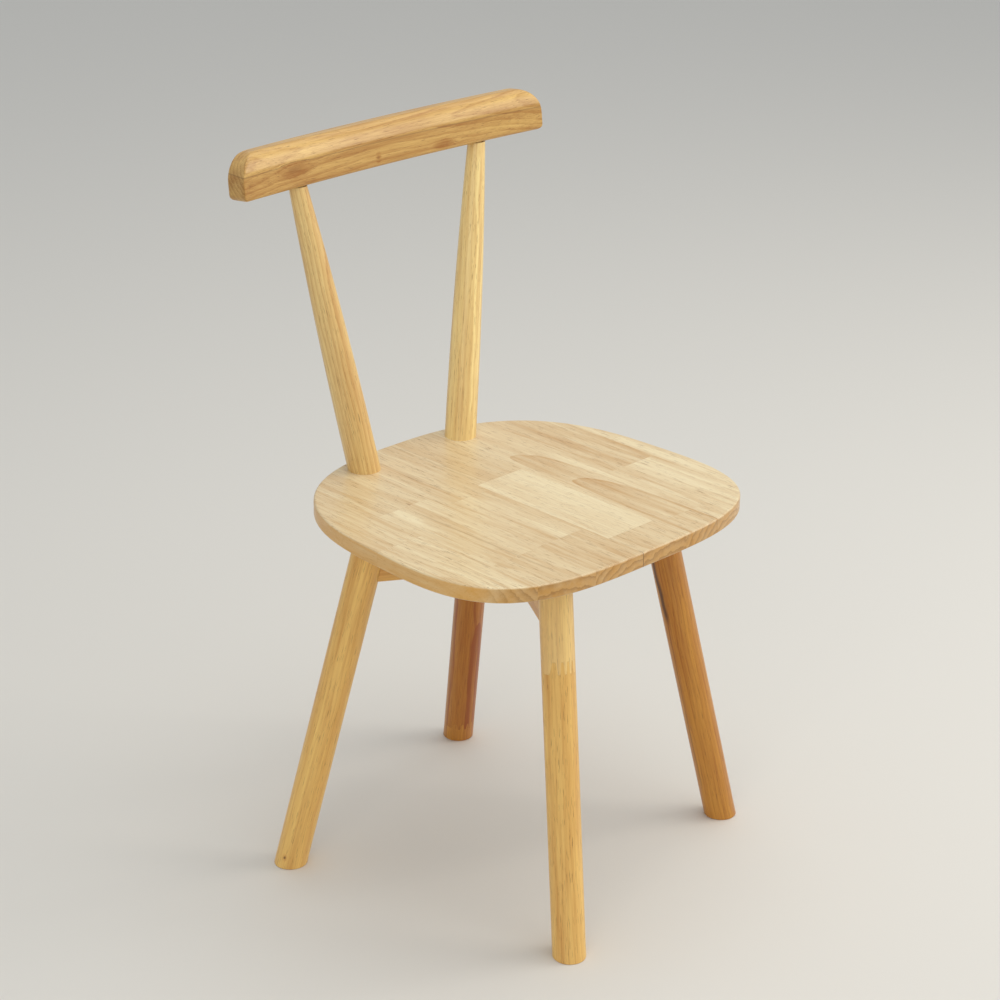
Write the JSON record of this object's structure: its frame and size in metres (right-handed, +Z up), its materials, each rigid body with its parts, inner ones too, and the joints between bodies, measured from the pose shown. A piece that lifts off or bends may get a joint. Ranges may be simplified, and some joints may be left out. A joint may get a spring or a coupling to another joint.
{
  "type": "swivel dining chair",
  "caption": "Wooden dining chair with a rounded seat that turns on a ball-race swivel over splayed round legs, two flared turned posts and a bowed crest rail.",
  "frame": {"origin": "on the floor, on the swivel's axis, which is the middle of the four feet", "axes": "+Z up, the sitter faces -Y, +X is to the right of someone who looks at the chair's front from -Y"},
  "size_m": [0.4986, 0.4986, 0.8457],
  "materials": {
    "seat_wood": "pale rubberwood staves, clear satin lacquer",
    "rail_wood": "golden finger-jointed rubberwood, clear satin lacquer",
    "post_wood": "golden turned rubberwood, clear satin lacquer",
    "leg_wood": "golden finger-jointed rubberwood, clear satin lacquer",
    "batten_wood": "golden rubberwood, clear satin lacquer",
    "swivel_steel": "pressed steel, zinc plated",
    "ball_steel": "hardened balls in a bright cage, lightly greased",
    "screw_steel": "yellow zinc plated"
  },
  "bodies": {
    "leg_frame": {"leg_rear_right": "leg_wood", "leg_rear_left": "leg_wood", "leg_front_left": "leg_wood", "leg_front_right": "leg_wood", "cross_batten_over": "batten_wood", "cross_batten_under": "batten_wood", "swivel_lower_plate": "swivel_steel", "swivel_lower_race": "swivel_steel", "batten_screw_1": "screw_steel", "batten_screw_2": "screw_steel", "batten_screw_3": "screw_steel", "batten_screw_4": "screw_steel"},
    "seat_unit": {"seat_stave_1": "seat_wood", "seat_stave_2": "seat_wood", "seat_stave_3": "seat_wood", "seat_stave_4": "seat_wood", "seat_stave_5": "seat_wood", "seat_stave_6": "seat_wood", "seat_stave_7": "seat_wood", "crest_rail": "rail_wood", "back_post_left": "post_wood", "back_post_right": "post_wood", "post_screw_left": "screw_steel", "post_screw_right": "screw_steel", "swivel_upper_plate": "swivel_steel", "swivel_upper_race": "swivel_steel", "seat_screw_1": "screw_steel", "seat_screw_2": "screw_steel", "seat_screw_3": "screw_steel", "seat_screw_4": "screw_steel"},
    "ball_cage": {"ball_ring": "ball_steel"}
  },
  "joints": [
    {"name": "seat_swivel", "type": "hinge", "parent": "leg_frame", "child": "seat_unit", "pos_m": [0, 0, 0.42], "axis": [0, 0, 1], "continuous": true},
    {"name": "ball_cage_turn", "type": "hinge", "parent": "leg_frame", "child": "ball_cage", "pos_m": [0, 0, 0.42], "axis": [0, 0, 1], "continuous": true}
  ],
  "couplings": [
    {"joint": "ball_cage_turn", "follows": "seat_swivel", "ratio": 0.5}
  ]
}
